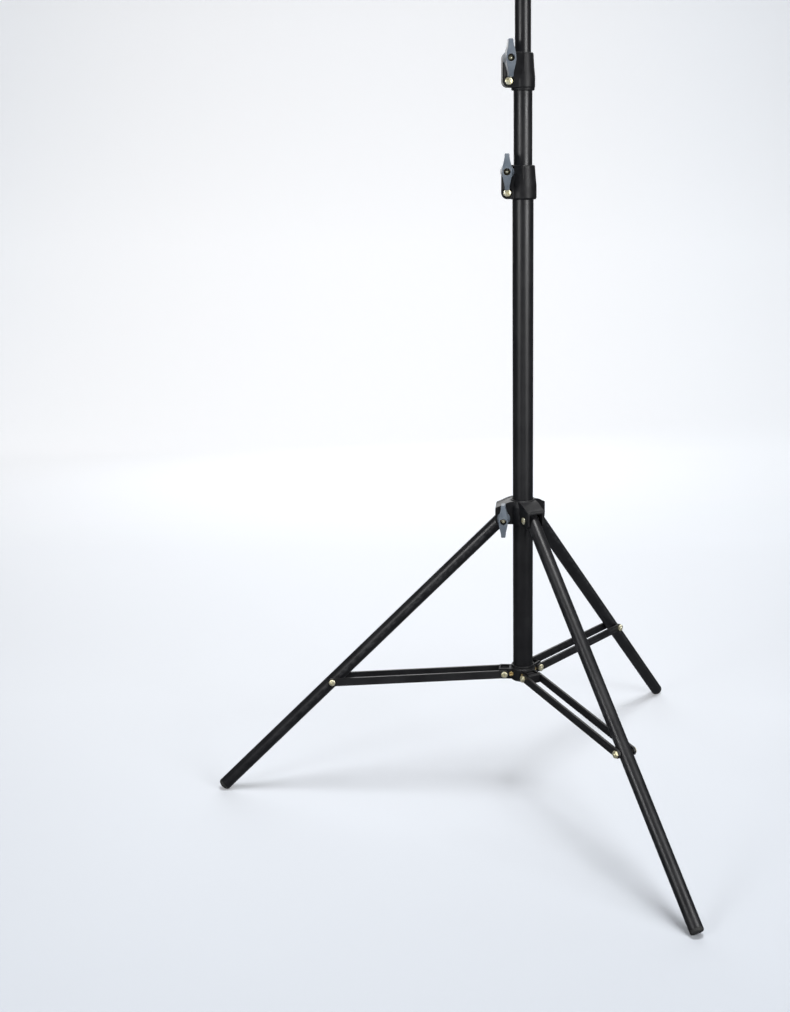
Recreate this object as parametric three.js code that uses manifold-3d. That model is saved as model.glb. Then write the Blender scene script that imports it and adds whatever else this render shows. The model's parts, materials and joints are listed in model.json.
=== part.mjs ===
// A three-section photographic light stand, standing open.
// Millimetres, +Z up. The origin is on the floor, on the mast's axis, and the knobs face -Y.
import * as THREE from "three";
import { mergeVertices } from "three/addons/utils/BufferGeometryUtils.js";
import Module from "manifold-3d";

const wasm = await Module();
wasm.setup();

// Driving dimensions.
const LEG_ANGLE = 45; // of an open leg from vertical, degrees
const BRACE_DROP = 3.5; // of an open brace below level, degrees
const PIVOT_RADIUS = 23.75; // mast axis to the leg pivots and the brace pivots
const LEG_LENGTH = 535.8; // collar pivot to the end of the foot cap
const LEG_TO_BRACE = 318; // collar pivot to brace pivot, along the leg
const LEG_AZIMUTHS = { left: 180, front: 300, rear: 60 };

const LOWER_TUBE = { radius: 12.7, wall: 1.2, top: 800 };
const MIDDLE_TUBE = { radius: 11.1, wall: 1.2, bottom: 288.5, top: 928.5 };
const UPPER_TUBE = { radius: 9.525, wall: 1.1, bottom: 498, top: 1134 };
const LEG_TUBE = { radius: 8.3, wall: 1 };
const FOOT_CAP = { radius: 8.4, round: 3, flange: 5, stem: 16 };
const BRACE = { height: 10.5, thickness: 2.8, inner: 9 };

const LOWER_CLAMP = { bottom: 773, top: 812.3, earAxis: 18.5, ring: 0.8, turn: 1.6, girth: 16.2 };
const UPPER_CLAMP = { bottom: 895.9, top: 938, earAxis: 17.5, ring: 3.4, turn: 9, girth: 14.3 };
const CLAMP_BOLT_DEPTH = 7.1; // clamp top to knob bolt
const CLAMP_SCREW_DEPTH = 31.7; // clamp top to body screw
const EAR_RADIUS = 7.3;
const KNOB_SEAT = 13.4; // bolt-axis plane of an ear to the knob's foot

const SPIGOT = { bottom: 1118, radius: 12.3, sleeve: 19, chamfer: 3.2, depth: 16 };
const COLLAR = { bore: 13.1, rim: 17.4, bottom: -8.5, top: 22.5, gap: 8.7, ear: 12, reach: 34.5, seat: 13.8 };
const CASTING = { hub: 16.2, bottom: 163.5, step: 179.8, rim: 14.8, top: 184 };
const LUG = { halfWidth: 8.6, halfHeight: 7, reach: 31.5, wall: 2.2, pocket: 3.6 };

const SHANK = 2.4; // radius of every pivot screw
const FIT = 0.3; // clearance between pieces that touch
const SNUG = 0.1; // clearance between turned pieces on one axis

// Worked-out geometry: the collar's height stands the foot caps on the floor.
const RADIANS = Math.PI / 180;
const legSine = Math.sin(LEG_ANGLE * RADIANS);
const braceLength = (LEG_TO_BRACE * legSine) / Math.cos(BRACE_DROP * RADIANS);
const footReach = LEG_LENGTH - FOOT_CAP.round + FOOT_CAP.radius - FOOT_CAP.round;
const collarHeight = footReach * legSine + FOOT_CAP.round;
const braceRise = LEG_TO_BRACE * legSine - braceLength * Math.sin(BRACE_DROP * RADIANS);
const castingHeight = collarHeight - braceRise;

const satin = (color, roughness) => new THREE.MeshStandardMaterial({ color, roughness });
const metal = (color, roughness) => {
  return new THREE.MeshStandardMaterial({ color, roughness, metalness: 1 });
};
const FINISH = {
  tube: satin(0x1b1c1e, 0.38),
  plastic: satin(0x202124, 0.55),
  inner: satin(0x2a2b2d, 0.6),
  knob: satin(0x5c6876, 0.5),
  rubber: satin(0x151516, 0.8),
  screw: metal(0xc9b47a, 0.3),
  brass: metal(0xb5944c, 0.35),
  nickel: metal(0xc8c9c6, 0.2),
};

// ---- Shapes. Each helper returns a closed geometry with shared vertices. ----

function closed(geometry) {
  const bare = new THREE.BufferGeometry();
  bare.setAttribute("position", geometry.getAttribute("position"));
  bare.setIndex(geometry.getIndex());
  return mergeVertices(bare, 1e-4);
}

function solid(geometry) {
  const mesh = new wasm.Mesh({
    numProp: 3,
    vertProperties: new Float32Array(geometry.getAttribute("position").array),
    triVerts: new Uint32Array(geometry.getIndex().array),
  });
  return new wasm.Manifold(mesh);
}

function geometryOf(made) {
  const mesh = made.getMesh();
  const geometry = new THREE.BufferGeometry();
  geometry.setAttribute("position", new THREE.BufferAttribute(mesh.vertProperties, 3));
  geometry.setIndex(new THREE.BufferAttribute(mesh.triVerts, 1));
  return geometry;
}

const combine = (method, first, others) => {
  return geometryOf(others.reduce((made, other) => made[method](solid(other)), solid(first)));
};
const join = (first, ...others) => combine("add", first, others);
const cut = (first, ...others) => combine("subtract", first, others);
const common = (first, ...others) => combine("intersect", first, others);

// A turned piece: profile points are [radius, height], anticlockwise, on or off the axis.
function turned(profile, sides = 24) {
  const points = profile.map(([radius, height]) => new THREE.Vector2(radius, height));
  if (profile[0][0] > 0) points.push(points[0].clone());
  return closed(new THREE.LatheGeometry(points, sides).rotateX(Math.PI / 2));
}

function rod(radius, low, high, sides = 16) {
  return turned([[0, low], [radius, low], [radius, high], [0, high]], sides);
}

function pipe(inner, outer, low, high, sides = 24) {
  return turned([[inner, low], [outer, low], [outer, high], [inner, high]], sides);
}

// The same turned piece laid along +Y, through the point (x, z).
function crosswise(geometry, x = 0, z = 0) {
  return geometry.rotateX(-Math.PI / 2).translate(x, 0, z);
}

const crossRod = (radius, low, high, x, z, sides = 12) => {
  return crosswise(rod(radius, low, high, sides), x, z);
};

function box(x, y, z) {
  const size = [x, y, z].map(([low, high]) => high - low);
  const centre = [x, y, z].map(([low, high]) => (low + high) / 2);
  return closed(new THREE.BoxGeometry(...size)).translate(...centre);
}

const extrude = (shape, depth) => {
  return closed(new THREE.ExtrudeGeometry(shape, { depth, bevelEnabled: false, curveSegments: 4 }));
};

// An outline in plan (x, y), standing from low to high.
const plan = (shape, low, high) => extrude(shape, high - low).translate(0, 0, low);

// An outline in elevation (x, z), running from y = low to y = high.
const elevation = (shape, low, high) => {
  return extrude(shape, high - low).rotateX(Math.PI / 2).translate(0, high, 0);
};

const outline = (points) => new THREE.Shape(points.map(([x, y]) => new THREE.Vector2(x, y)));

// Two circles of one radius and the straight sides between them, from (0, 0) to (length, 0).
function stadium(length, radius) {
  const shape = new THREE.Shape();
  shape.absarc(0, 0, radius, Math.PI / 2, (3 * Math.PI) / 2);
  shape.absarc(length, 0, radius, -Math.PI / 2, Math.PI / 2);
  shape.closePath();
  return shape;
}

// ---- The scene graph. ----

const stand = new THREE.Group();

function group(parent, place, turn = [0, 0, 0]) {
  const made = new THREE.Group();
  made.position.set(...place);
  made.rotation.set(...turn.map((degrees) => degrees * RADIANS));
  parent.add(made);
  return made;
}

function piece(name, parent, finish, geometry) {
  const flat = geometry.toNonIndexed();
  flat.computeVertexNormals();
  const mesh = new THREE.Mesh(flat, FINISH[finish]);
  mesh.name = name;
  parent.add(mesh);
}

// ---- Fasteners, laid along +Y with the clamped stack from y = low to y = high. ----

// A pan head at the high end, with a cross recess, and a shank down to the low end.
function panScrew(low, high, x = 0, z = 0, head = 4.2) {
  const height = 1.9;
  const profile = [
    [0, low],
    [SHANK, low],
    [SHANK, high + FIT],
    [head, high + FIT],
    [head, high + FIT + 0.8],
    [head * 0.72, high + FIT + height * 0.9],
    [0, high + FIT + height],
  ];
  const recess = [high + FIT + 0.9, high + FIT + height + 1];
  const across = [-head * 0.5, head * 0.5];
  const along = [-0.45, 0.45];
  const screw = cut(turned(profile, 16), box(across, along, recess), box(along, across, recess));
  return crosswise(screw, x, z);
}

function hexNut(low, high, x = 0, z = 0, flats = 8) {
  const corner = flats / Math.sqrt(3);
  return crosswise(cut(rod(corner, low, high, 6), rod(SHANK + FIT, low - 1, high + 1, 16)), x, z);
}

// ---- Mast sections. ----

function mastTubes() {
  const { radius, wall, top } = LOWER_TUBE;
  const foot = CASTING.bottom + 2;
  piece("lower_mast_tube", stand, "tube", pipe(radius - wall, radius, foot, top));
  sectionTube("middle", MIDDLE_TUBE, LOWER_TUBE.radius - LOWER_TUBE.wall);
  sectionTube("upper", UPPER_TUBE, MIDDLE_TUBE.radius - MIDDLE_TUBE.wall);
  const plug = turned([
    [0, CASTING.bottom - 3],
    [4.2, CASTING.bottom - 3],
    [4.7, CASTING.bottom - 2.4],
    [4.7, foot + FIT],
    [radius - wall - FIT, foot + FIT],
    [radius - wall - FIT, foot + 12],
    [0, foot + 12],
  ]);
  piece("mast_foot_plug", stand, "plastic", plug);
}

// A sliding tube and the guide bush on its lower end, which runs in the bore below.
function sectionTube(name, { radius, wall, bottom, top }, bore) {
  piece(name + "_mast_tube", stand, "tube", pipe(radius - wall, radius, bottom, top));
  const inside = radius - wall - SNUG;
  const bush = turned([
    [inside - 2, bottom - 5],
    [bore - SNUG * 2, bottom - 5],
    [bore - SNUG * 2, bottom - FIT],
    [inside, bottom - FIT],
    [inside, bottom + 10],
    [inside - 2, bottom + 10],
  ]);
  piece(name + "_guide_bush", stand, "inner", bush);
}

// ---- Clamps. Local frame: on the mast axis, ear along -X, knob on the -Y side. ----

function clamp(name, { bottom, top, earAxis, ring, turn, girth }, lower, upper) {
  const local = group(stand, [0, 0, 0], [0, 0, turn]);
  const boltHeight = top - CLAMP_BOLT_DEPTH;
  const screwHeight = top - CLAMP_SCREW_DEPTH;
  const barrel = turned(
    [
      [0, bottom],
      [girth - 1.2, bottom],
      [girth - 0.6, bottom + 0.6],
      [girth - 0.6, bottom + ring],
      [girth, bottom + ring + 0.6],
      [girth, bottom + 16],
      [girth - 1.1, bottom + 27],
      [girth - 2, top - 1.2],
      [girth - 3, top],
      [0, top],
    ],
    28,
  );
  const ear = common(
    elevation(earSide(earAxis, boltHeight, screwHeight), -girth, girth),
    plan(earPlan(earAxis, girth), bottom, top),
  );
  const boss = crossRod(EAR_RADIUS - 0.1, -KNOB_SEAT + FIT, 0, -earAxis, boltHeight, 16);
  const pocket = 9.2;
  const boreTop = (name === "lower" ? LOWER_TUBE.top : MIDDLE_TUBE.top) + 1;
  const body = cut(
    join(barrel, ear, boss),
    rod(lower + FIT, bottom - 1, boreTop, 24),
    rod(upper + FIT + 0.05, bottom - 1, top + 1, 24),
    box([-40, -upper + 2], [-0.9, 0.9], [bottom - 1, top + 1]),
    crossRod(SHANK + FIT, -20, 20, -earAxis, screwHeight),
    crossRod(BOLT_RADIUS + FIT, -20, 20, -earAxis, boltHeight),
    crossRod(6, -20, -pocket, -earAxis, screwHeight, 16),
    crossRod(6, pocket, 20, -earAxis, screwHeight, 16),
    crossRod(6, pocket, 20, -earAxis, boltHeight, 16),
  );
  piece(name + "_clamp_body", local, "plastic", body);
  const screw = facingFront(panScrew(-12, pocket, 0, 0, 4.6), earAxis, screwHeight);
  piece(name + "_clamp_screw", local, "screw", screw);
  piece(name + "_clamp_nut", local, "screw", hexNut(pocket + FIT, pocket + 3.6, -earAxis, screwHeight));
  knobBolt(name + "_knob_bolt", local, [-earAxis, boltHeight], pocket);
  wingKnob(name, group(local, [-earAxis, -KNOB_SEAT, boltHeight], [90, 0, 0]));
}

function earSide(axis, boltHeight, screwHeight) {
  const shape = new THREE.Shape();
  shape.absarc(-axis, boltHeight, EAR_RADIUS - 0.3, Math.PI / 2, Math.PI);
  shape.absarc(-axis, screwHeight, EAR_RADIUS, Math.PI, (3 * Math.PI) / 2);
  shape.lineTo(0, screwHeight - EAR_RADIUS);
  shape.lineTo(0, boltHeight + EAR_RADIUS - 0.3);
  shape.closePath();
  return shape;
}

// The ear tapers from the barrel to a rounded tip.
function earPlan(axis, girth) {
  const tip = axis + EAR_RADIUS;
  const half = [
    [0, girth - 0.6],
    [-9, 12.4],
    [-tip + 4, 10.6],
    [-tip + 1.2, 9.4],
    [-tip, 7.4],
  ];
  return outline([...half, ...half.map(([x, y]) => [x, -y]).reverse()]);
}

const facingFront = (geometry, axis, height) => geometry.rotateZ(Math.PI).translate(-axis, 0, height);

// ---- Wing knobs and their bolts. ----

const BOLT_RADIUS = 2.7;
const KNOB = { length: 41.5, depth: 19.5, foot: 8.2, crown: 5.6, insert: 4, bore: 4.1 };

// A round-headed bolt that runs from the ear's back pocket to the recess in the knob.
function knobBolt(name, parent, [x, z], seat) {
  const profile = [
    [0, -KNOB_SEAT - 15],
    [BOLT_RADIUS - 0.5, -KNOB_SEAT - 15],
    [BOLT_RADIUS, -KNOB_SEAT - 14.5],
    [BOLT_RADIUS, seat + FIT],
    [5.2, seat + FIT],
    [4.4, seat + 2.4],
    [0, seat + 3.2],
  ];
  piece(name, parent, "screw", crosswise(turned(profile, 16), x, z));
}

// Local frame: foot at the origin, bolt axis along +Z away from the clamp, wings along Y.
function wingKnob(name, parent) {
  const half = KNOB.length / 2;
  const side = new THREE.Shape();
  side.moveTo(-KNOB.foot, 0);
  side.lineTo(KNOB.foot, 0);
  side.bezierCurveTo(KNOB.foot + 2, 3, half - 3.5, 2.5, half, 5.6);
  side.lineTo(half, 16.6);
  side.quadraticCurveTo(half - 9, KNOB.depth, 0, KNOB.depth);
  side.quadraticCurveTo(9 - half, KNOB.depth, -half, 16.6);
  side.lineTo(-half, 5.6);
  side.bezierCurveTo(3.5 - half, 2.5, -KNOB.foot - 2, 3, -KNOB.foot, 0);
  const face = new THREE.Shape();
  const waist = [[5.9, 0], [5.2, 6], [3.3, 14], [2.7, 17.5], [2.9, 19.4], [2.3, half]];
  const right = [...waist.map(([x, y]) => [x, -y]).reverse(), ...waist.slice(1)];
  const left = right.map(([x, y]) => [-x, y]).reverse();
  face.setFromPoints([...right, ...left].map(([x, y]) => new THREE.Vector2(x, y)));
  const wings = common(
    plan(face, 0, KNOB.depth),
    elevation(side, -8, 8).rotateZ(Math.PI / 2),
  );
  const hub = rodTaper(KNOB.foot, KNOB.crown, 0, KNOB.depth);
  const body = cut(join(wings, hub), rod(KNOB.bore, -1, KNOB.depth + 1));
  piece(name + "_knob", parent, "knob", body);
  const insert = pipe(BOLT_RADIUS + FIT, KNOB.insert, 0.4, 8, 16);
  piece(name + "_knob_insert", parent, "brass", insert);
}

const rodTaper = (lowRadius, highRadius, low, high) => {
  return turned([[0, low], [lowRadius, low], [lowRadius, low + 2], [highRadius, high], [0, high]], 20);
};

// ---- Spigot. ----

function spigot() {
  const { bottom, radius, sleeve, chamfer, depth } = SPIGOT;
  const shoulder = bottom + sleeve + chamfer;
  const bore = UPPER_TUBE.radius + SNUG;
  const body = turned([
    [0, bottom + depth + FIT],
    [bore, bottom + depth + FIT],
    [bore, bottom],
    [radius, bottom],
    [radius, bottom + sleeve],
    [8.4, shoulder],
    [8.4, shoulder + 0.4],
    [8, shoulder + 0.8],
    [8, shoulder + 6],
    [6.35, shoulder + 7.2],
    [6.35, shoulder + 22.8],
    [8, shoulder + 23.6],
    [8, shoulder + 28.2],
    [7.4, shoulder + 28.8],
    [3.1, shoulder + 28.8],
    [3.1, shoulder + 37],
    [2.3, shoulder + 37.8],
    [0, shoulder + 37.8],
  ]);
  const local = group(stand, [0, 0, bottom + sleeve / 2], [0, 0, UPPER_CLAMP.turn]);
  const hole = crossRod(2.2, radius - 4, radius + 4, 0, bottom + sleeve / 2).rotateZ(local.rotation.z);
  piece("spigot", stand, "nickel", cut(body, hole));
  const screw = turned([
    [0, bore + FIT],
    [1.9, bore + FIT],
    [1.9, radius + 0.4],
    [2.6, radius + 0.4],
    [2.6, radius + 1.8],
    [1.4, radius + 3],
    [0, radius + 3],
  ], 16);
  piece("spigot_set_screw", local, "brass", crosswise(screw));
}

// ---- Leg collar. Local frame of each clevis: leg along +X, its pivot bolt along Y. ----

const CLEVIS_SIDE = [
  [10, COLLAR.bottom],
  [20, COLLAR.bottom],
  [28, -7.2],
  [33, -3.5],
  [COLLAR.reach, 1],
  [COLLAR.reach, 11],
  [32, 13.2],
  [22, 18.4],
  [15.5, 20.8],
  [10, 21.2],
];
const FLAP = { inner: -20.5, outer: -14 };
const SLOT = { low: -14, high: -12.2 };

function legCollar() {
  const { bore, rim, bottom, top, gap, ear, reach, seat } = COLLAR;
  const local = group(stand, [0, 0, collarHeight]);
  const azimuths = Object.values(LEG_AZIMUTHS).map((degrees) => degrees * RADIANS);
  const ring = turned([[0, bottom], [rim, bottom], [rim, 14], [rim - 2.4, top], [0, top]], 28);
  const sides = azimuths.map((azimuth, index) => {
    const low = index === 0 ? SLOT.high : -ear;
    return elevation(outline(CLEVIS_SIDE), low, ear).rotateZ(azimuth);
  });
  const flap = elevation(outline(CLEVIS_SIDE), FLAP.inner, FLAP.outer).rotateZ(azimuths[0]);
  const boss = crossRod(EAR_RADIUS, 0, seat - FIT, PIVOT_RADIUS, 0, 16).rotateZ(azimuths[0]);
  const pockets = azimuths.flatMap((azimuth, index) => {
    const low = index === 0 ? SLOT.low : -gap;
    const slot = box([15.4, reach + 5], [low, gap], [bottom - 1, 8.8]);
    const hole = crossRod(SHANK + FIT, -25, 25, PIVOT_RADIUS, 0);
    return [slot.rotateZ(azimuth), hole.rotateZ(azimuth)];
  });
  const heads = azimuths.slice(1).map((azimuth) => {
    return crossRod(5, -ear - 1, -ear + 0.5, PIVOT_RADIUS, 0, 16).rotateZ(azimuth);
  });
  const split = box([0, reach + 5], [SLOT.low, SLOT.high], [bottom - 1, top + 1]).rotateZ(azimuths[0]);
  const mastBore = rod(bore, bottom - 1, top + 1, 24);
  const body = cut(join(ring, ...sides, flap, boss), mastBore, ...pockets, ...heads, split);
  piece("leg_collar", local, "plastic", body);

  Object.entries(LEG_AZIMUTHS).slice(1).forEach(([name, azimuth]) => {
    const clevis = group(local, [0, 0, 0], [0, 0, azimuth]);
    const screw = panScrew(-ear - 3.4, ear - 0.5, -PIVOT_RADIUS).rotateZ(Math.PI);
    piece(name + "_leg_pivot_screw", clevis, "screw", screw);
    piece(name + "_leg_pivot_nut", clevis, "screw", hexNut(ear + FIT, ear + 3.2, PIVOT_RADIUS));
  });

  const clevis = group(local, [0, 0, 0], [0, 0, LEG_AZIMUTHS.left]);
  const back = FLAP.inner;
  const shank = turned([
    [0, back - 1],
    [SHANK, back - 1],
    [SHANK, seat + 14.5],
    [SHANK - 0.5, seat + 15],
    [0, seat + 15],
  ], 16);
  const bolt = join(shank, rod(9 / Math.sqrt(3), back - 3.6, back - FIT, 6));
  piece("collar_knob_bolt", clevis, "screw", crosswise(bolt, PIVOT_RADIUS));
  const spacer = turned([
    [SHANK + FIT, FLAP.outer + FIT],
    [4.4, FLAP.outer + FIT],
    [4.4, FLAP.outer + 1.3],
    [3.4, FLAP.outer + 2],
    [3.4, -gap - 1.7],
    [4.4, -gap - 1],
    [4.4, -gap],
    [SHANK + FIT, -gap],
  ], 16);
  piece("collar_bolt_spacer", clevis, "screw", crosswise(spacer, PIVOT_RADIUS));
  wingKnob("collar", group(clevis, [PIVOT_RADIUS, seat, 0], [-90, 0, 0]));
}

// ---- Base casting, its rivets and the braces' lower pivots. ----

// A lug in elevation, centred on its pivot's height and rounded at its outer corners.
function lugSide() {
  const { halfHeight, reach } = LUG;
  const shape = new THREE.Shape();
  shape.moveTo(10, -halfHeight);
  shape.lineTo(reach - 5, -halfHeight);
  shape.quadraticCurveTo(reach, -halfHeight, reach, -1);
  shape.lineTo(reach, halfHeight - 3);
  shape.quadraticCurveTo(reach, halfHeight, reach - 3, halfHeight);
  shape.lineTo(10, halfHeight);
  shape.closePath();
  return shape;
}

function baseCasting() {
  const { hub, bottom, step, rim, top } = CASTING;
  const { halfWidth, halfHeight, reach, wall, pocket } = LUG;
  const azimuths = Object.values(LEG_AZIMUTHS);
  const shell = turned([
    [0, bottom],
    [hub - 1.5, bottom],
    [hub, bottom + 1.5],
    [hub, step],
    [rim, step + 0.6],
    [rim, top],
    [0, top],
  ], 28);
  const lugs = azimuths.map((azimuth) => {
    const side = elevation(lugSide(), -halfWidth, halfWidth);
    return side.translate(0, 0, castingHeight).rotateZ(azimuth * RADIANS);
  });
  const cuts = azimuths.flatMap((azimuth) => {
    const lugTop = castingHeight + halfHeight;
    const across = [wall - halfWidth, halfWidth - wall];
    const hollow = box([hub + 1.5, reach - wall], across, [lugTop - pocket, lugTop + 1]);
    const bolt = crossRod(SHANK + FIT, -12, 12, PIVOT_RADIUS, castingHeight);
    const rivet = crossRod(RIVET.shank + FIT, -20, 20, RIVET.radius, castingHeight, 8);
    const seats = [[halfWidth, 20], [-20, -halfWidth]].map(([low, high]) => {
      return crossRod(RIVET.head + FIT, low, high, RIVET.radius, castingHeight, 12);
    });
    return [hollow, bolt, rivet, ...seats].map((tool) => tool.rotateZ(azimuth * RADIANS));
  });
  const cup = rod(LOWER_TUBE.radius + FIT, bottom + 2 - FIT, top + 1, 24);
  const stem = rod(5, bottom - 1, bottom + 3, 24);
  piece("base_casting", stand, "plastic", cut(join(shell, ...lugs), cup, stem, ...cuts));

  Object.entries(LEG_AZIMUTHS).forEach(([name, azimuth]) => {
    const local = group(stand, [0, 0, castingHeight], [0, 0, azimuth]);
    const outer = BRACE.inner + BRACE.thickness;
    piece(name + "_lug_rivet", local, "brass", crosswise(eyelet(halfWidth), RIVET.radius));
    piece(name + "_brace_base_screw", local, "screw", panScrew(-outer - 3.8, outer, PIVOT_RADIUS));
    piece(name + "_brace_base_nut", local, "screw", hexNut(-outer - 3.2, -outer - FIT, PIVOT_RADIUS));
  });
}

const RIVET = { radius: 14.9, shank: 1.5, bore: 0.9, head: 3.2 };

function eyelet(lug) {
  const { shank, bore, head } = RIVET;
  const face = lug + SNUG;
  return turned([
    [bore, -face - 0.9],
    [head - 0.6, -face - 0.9],
    [head, -face - 0.4],
    [head, -face],
    [shank, -face],
    [shank, face],
    [head, face],
    [head, face + 0.4],
    [head - 0.6, face + 0.9],
    [bore + 0.5, face + 0.9],
    [bore, face + 0.4],
  ], 12);
}

// ---- Legs and braces. ----

function leg(name, azimuth) {
  const outward = group(stand, [0, 0, collarHeight], [0, 0, azimuth]);
  const local = group(outward, [PIVOT_RADIUS, 0, 0], [0, -LEG_ANGLE, 0]);
  const { radius, wall } = LEG_TUBE;
  const tubeEnd = FOOT_CAP.flange + SNUG - LEG_LENGTH;
  const crown = join(
    crossRod(radius, -radius - 1, radius + 1, 0, 0, 20),
    box([-10, 10], [-10, 10], [-LEG_LENGTH - 1, 0]),
  );
  const pivotHole = () => crossRod(SHANK + FIT, -10, 10, 0, 0);
  const braceHole = crossRod(SHANK + FIT, -10, 10, 0, -LEG_TO_BRACE);
  const tube = common(pipe(radius - wall, radius, tubeEnd, radius, 20), crown);
  piece(name + "_leg_tube", local, "tube", cut(tube, pivotHole(), braceHole));
  const plug = common(rod(radius - wall - SNUG, -18, radius, 20), crown);
  piece(name + "_leg_plug", local, "inner", cut(plug, pivotHole()));
  piece(name + "_foot_cap", local, "rubber", footCap());
}

// A flange that carries on the leg's outline, with a stem up inside the tube.
function footCap() {
  const { radius, round, flange, stem } = FOOT_CAP;
  const end = -LEG_LENGTH;
  const bend = [0, 22.5, 45, 67.5, 90].map((degrees) => {
    const across = radius - round + round * Math.sin(degrees * RADIANS);
    return [across, end + round - round * Math.cos(degrees * RADIANS)];
  });
  const inside = LEG_TUBE.radius - LEG_TUBE.wall - SNUG;
  return turned([
    [0, end],
    ...bend,
    [radius, end + flange],
    [inside, end + flange],
    [inside, end + stem - 1],
    [inside - 1, end + stem],
    [0, end + stem],
  ], 20);
}

function brace(name, azimuth) {
  const outward = group(stand, [0, 0, castingHeight], [0, 0, azimuth]);
  const local = group(outward, [PIVOT_RADIUS, 0, 0], [0, BRACE_DROP, 0]);
  const { height, thickness, inner } = BRACE;
  const outer = inner + thickness;
  const strip = (low, high) => cut(
    elevation(stadium(braceLength, height / 2), low, high),
    crossRod(SHANK + FIT, low - 1, high + 1, 0, 0),
    crossRod(SHANK + FIT, low - 1, high + 1, braceLength, 0),
  );
  piece(name + "_brace_strip_a", local, "tube", strip(inner, outer));
  piece(name + "_brace_strip_b", local, "tube", strip(-outer, -inner));
  // The pivot on the leg is open: screw and nut each stop short of the leg tube.
  piece(name + "_brace_leg_screw", local, "screw", panScrew(inner, outer, braceLength));
  const stub = crossRod(SHANK, -outer - 3.8, -inner, braceLength, 0);
  const nut = crosswise(rod(8 / Math.sqrt(3), -outer - 3.2, -outer - FIT, 6), braceLength);
  piece(name + "_brace_leg_nut", local, "screw", join(nut, stub));
}

mastTubes();
clamp("lower", LOWER_CLAMP, LOWER_TUBE.radius, MIDDLE_TUBE.radius);
clamp("upper", UPPER_CLAMP, MIDDLE_TUBE.radius, UPPER_TUBE.radius);
spigot();
legCollar();
baseCasting();
Object.entries(LEG_AZIMUTHS).forEach(([name, azimuth]) => {
  leg(name, azimuth);
  brace(name, azimuth);
});

export default stand;
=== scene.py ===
"""Looks of a three-section photographic light stand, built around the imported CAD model."""

import json
from math import cos, pi, radians, sin

import bmesh
import bpy
from mathutils import Matrix, Vector


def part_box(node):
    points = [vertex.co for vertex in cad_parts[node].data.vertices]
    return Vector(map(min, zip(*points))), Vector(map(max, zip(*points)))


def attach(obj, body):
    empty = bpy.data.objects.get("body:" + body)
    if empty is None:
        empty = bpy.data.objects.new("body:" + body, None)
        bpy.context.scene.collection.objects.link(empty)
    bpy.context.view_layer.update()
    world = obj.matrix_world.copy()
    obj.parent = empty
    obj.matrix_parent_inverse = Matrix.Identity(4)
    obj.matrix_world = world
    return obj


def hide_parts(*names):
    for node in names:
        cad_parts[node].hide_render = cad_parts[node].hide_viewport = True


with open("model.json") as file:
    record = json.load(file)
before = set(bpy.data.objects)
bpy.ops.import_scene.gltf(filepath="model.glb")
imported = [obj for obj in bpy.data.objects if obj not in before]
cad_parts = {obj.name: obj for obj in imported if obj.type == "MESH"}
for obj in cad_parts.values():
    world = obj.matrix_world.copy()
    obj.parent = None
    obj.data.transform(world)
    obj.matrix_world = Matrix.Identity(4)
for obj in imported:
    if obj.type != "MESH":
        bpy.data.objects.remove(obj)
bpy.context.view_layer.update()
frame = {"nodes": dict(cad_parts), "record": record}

MM = 0.001
AZIMUTHS = {"left": 180, "front": 300, "rear": 60}  # of the legs and braces
LEG_ANGLE = 45  # of an open leg from vertical
BRACE_DROP = 3.5  # of an open brace below level
PIVOT_RADIUS = 23.75  # mast axis to the leg pivots and the brace pivots
CLAMP_TURNS = {"lower": 1.6, "upper": 9.0}  # of the clamps about the mast
FINE = 96  # sides of the large turned pieces
SMALL = 40  # sides of the small ones
MOULDED = 128  # sides of the moulded barrels and their bores
SHARP_ANGLE = 35  # between two faces, above which their edge stays sharp
BOLT_HOLE = 2.7  # radius
SHANK = 2.4  # radius of the screws


# ---- Places, in millimetres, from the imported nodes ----

def span(node, axis):
    """Lowest and highest place of a node along an axis."""
    low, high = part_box(node)
    return low[axis] / MM, high[axis] / MM


SLOTS = {part["node"]: part["material_slot"] for part in frame["record"]["subparts"]}
BODIES = {node: body for body, nodes in frame["record"]["behaviour"]["bodies"].items() for node in nodes}


def joint_height(name):
    return next(j["pos_m"][2] for j in frame["record"]["behaviour"]["joints"] if j["name"] == name) / MM


PIVOT_HEIGHT = joint_height("left_leg_fold")
LUG_HEIGHT = joint_height("left_brace_fold")
TUBE_RADIUS = {name: span(f"{name}_mast_tube", 0)[1] for name in ("lower", "middle", "upper")}
LEG_RADIUS = span("left_leg_tube", 1)[1]
LEG_LENGTH = 535.8
LEG_TO_BRACE = 318.0
BRACE_LENGTH = LEG_TO_BRACE * sin(radians(LEG_ANGLE)) / cos(radians(BRACE_DROP))


def turn(degrees, axis="Z"):
    return Matrix.Rotation(radians(degrees), 4, axis)


def shift(x=0.0, y=0.0, z=0.0):
    return Matrix.Translation((x, y, z))


def leg_frame(name):
    """The pivot at the origin, the leg running down -Z, its pivot bolt along Y."""
    return turn(AZIMUTHS[name]) @ shift(PIVOT_RADIUS, 0, PIVOT_HEIGHT) @ turn(-LEG_ANGLE, "Y")


def brace_frame(name):
    """The lug's pivot at the origin, the brace running out along X."""
    return turn(AZIMUTHS[name]) @ shift(PIVOT_RADIUS, 0, LUG_HEIGHT) @ turn(BRACE_DROP, "Y")


ACROSS = turn(-90, "X")  # lays a turned piece along +Y


# ---- Meshes, made in millimetres in a local frame ----

def new_object(name, data):
    made = bpy.data.objects.new(name, data)
    bpy.context.collection.objects.link(made)
    return made


def shaded(mesh):
    mesh.shade_smooth()
    mesh.set_sharp_from_angle(angle=radians(SHARP_ANGLE))
    return mesh


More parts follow.
